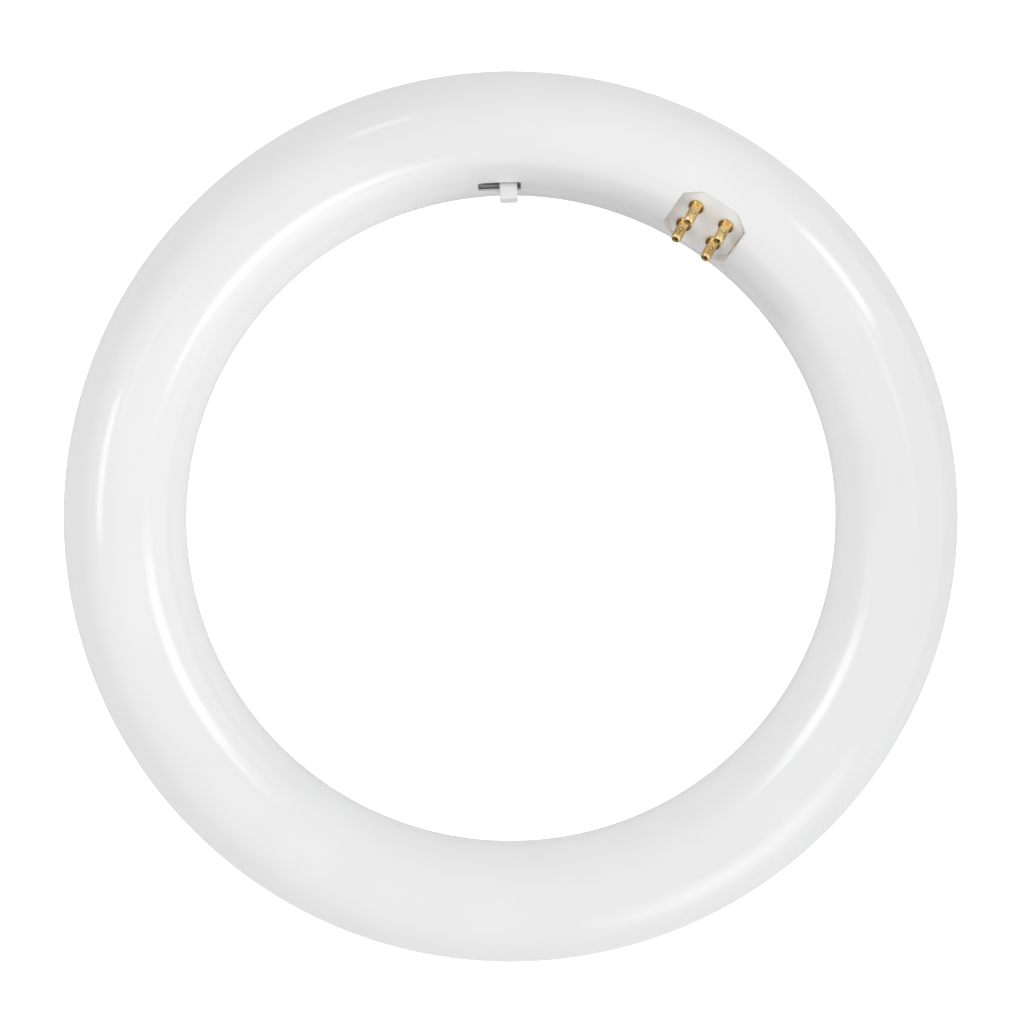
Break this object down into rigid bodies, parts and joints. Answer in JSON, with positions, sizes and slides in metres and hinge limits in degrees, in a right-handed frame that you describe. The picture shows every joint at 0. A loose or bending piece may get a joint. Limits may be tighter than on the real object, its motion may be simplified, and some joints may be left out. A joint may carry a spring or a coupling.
{
  "type": "circular led tube",
  "caption": "Ring-shaped LED lamp tube with a recessed pin base inside the ring and a slide switch for the colour of its light.",
  "frame": {"origin": "ring's axis, on the surface that the tube lies on", "axes": "+Z along the ring's axis, from the front diffuser to the side that the pins look to; +Y towards the slide switch"},
  "size_m": [0.206, 0.206, 0.0291],
  "materials": {
    "rear_white": "glossy white",
    "diffuser_white": "glossy milky white",
    "base_grey": "smooth pale grey",
    "pin_brass": "polished",
    "knob_white": "satin white",
    "slider_black": "moulded",
    "switch_grey": "satin grey",
    "switch_brown": "satin",
    "contact_bronze": "satin",
    "led_board_white": "white solder mask",
    "led_warm": "moulded",
    "led_cool": "moulded",
    "driver_green": "solder mask",
    "part_black": "moulded",
    "fuse_green": "lacquered",
    "film_yellow": "moulded",
    "ferrite": "sintered",
    "winding_tape": "taped",
    "can_sleeve": "sleeved",
    "link_tin": "tinned",
    "screw_steel": "zinc plated",
    "lead_white": "insulation",
    "lead_red": "insulation"
  },
  "bodies": {
    "lamp": {"rear_shell": "rear_white", "front_diffuser": "diffuser_white", "pin_base": "base_grey", "contact_pin_1": "pin_brass", "contact_pin_2": "pin_brass", "contact_pin_3": "pin_brass", "contact_pin_4": "pin_brass", "switch_housing": "switch_grey", "switch_cover": "switch_brown", "switch_terminals": "contact_bronze", "led_board": "led_board_white", "warm_leds": "led_warm", "cool_leds": "led_cool", "driver_board": "driver_green", "bridge_rectifier": "part_black", "driver_chip": "part_black", "output_diode": "part_black", "fuse_resistor": "fuse_green", "film_capacitor": "film_yellow", "transformer_core": "ferrite", "choke": "ferrite", "transformer_winding": "winding_tape", "bulk_capacitor": "can_sleeve", "output_capacitor": "can_sleeve", "led_links": "link_tin", "base_screws": "screw_steel", "switch_screws": "screw_steel", "led_board_screws": "screw_steel", "driver_screws": "screw_steel", "pin_lead_1": "lead_white", "pin_lead_2": "lead_white", "pin_lead_3": "lead_white", "pin_lead_4": "lead_white", "switch_leads": "lead_red"},
    "slider": {"switch_slider": "slider_black", "switch_contact": "contact_bronze", "switch_knob": "knob_white"}
  },
  "joints": [
    {"name": "colour_slide", "type": "slide", "parent": "lamp", "child": "slider", "axis": [-0.9993, -0.0366, 0], "range_m": [0, 0.004]}
  ]
}
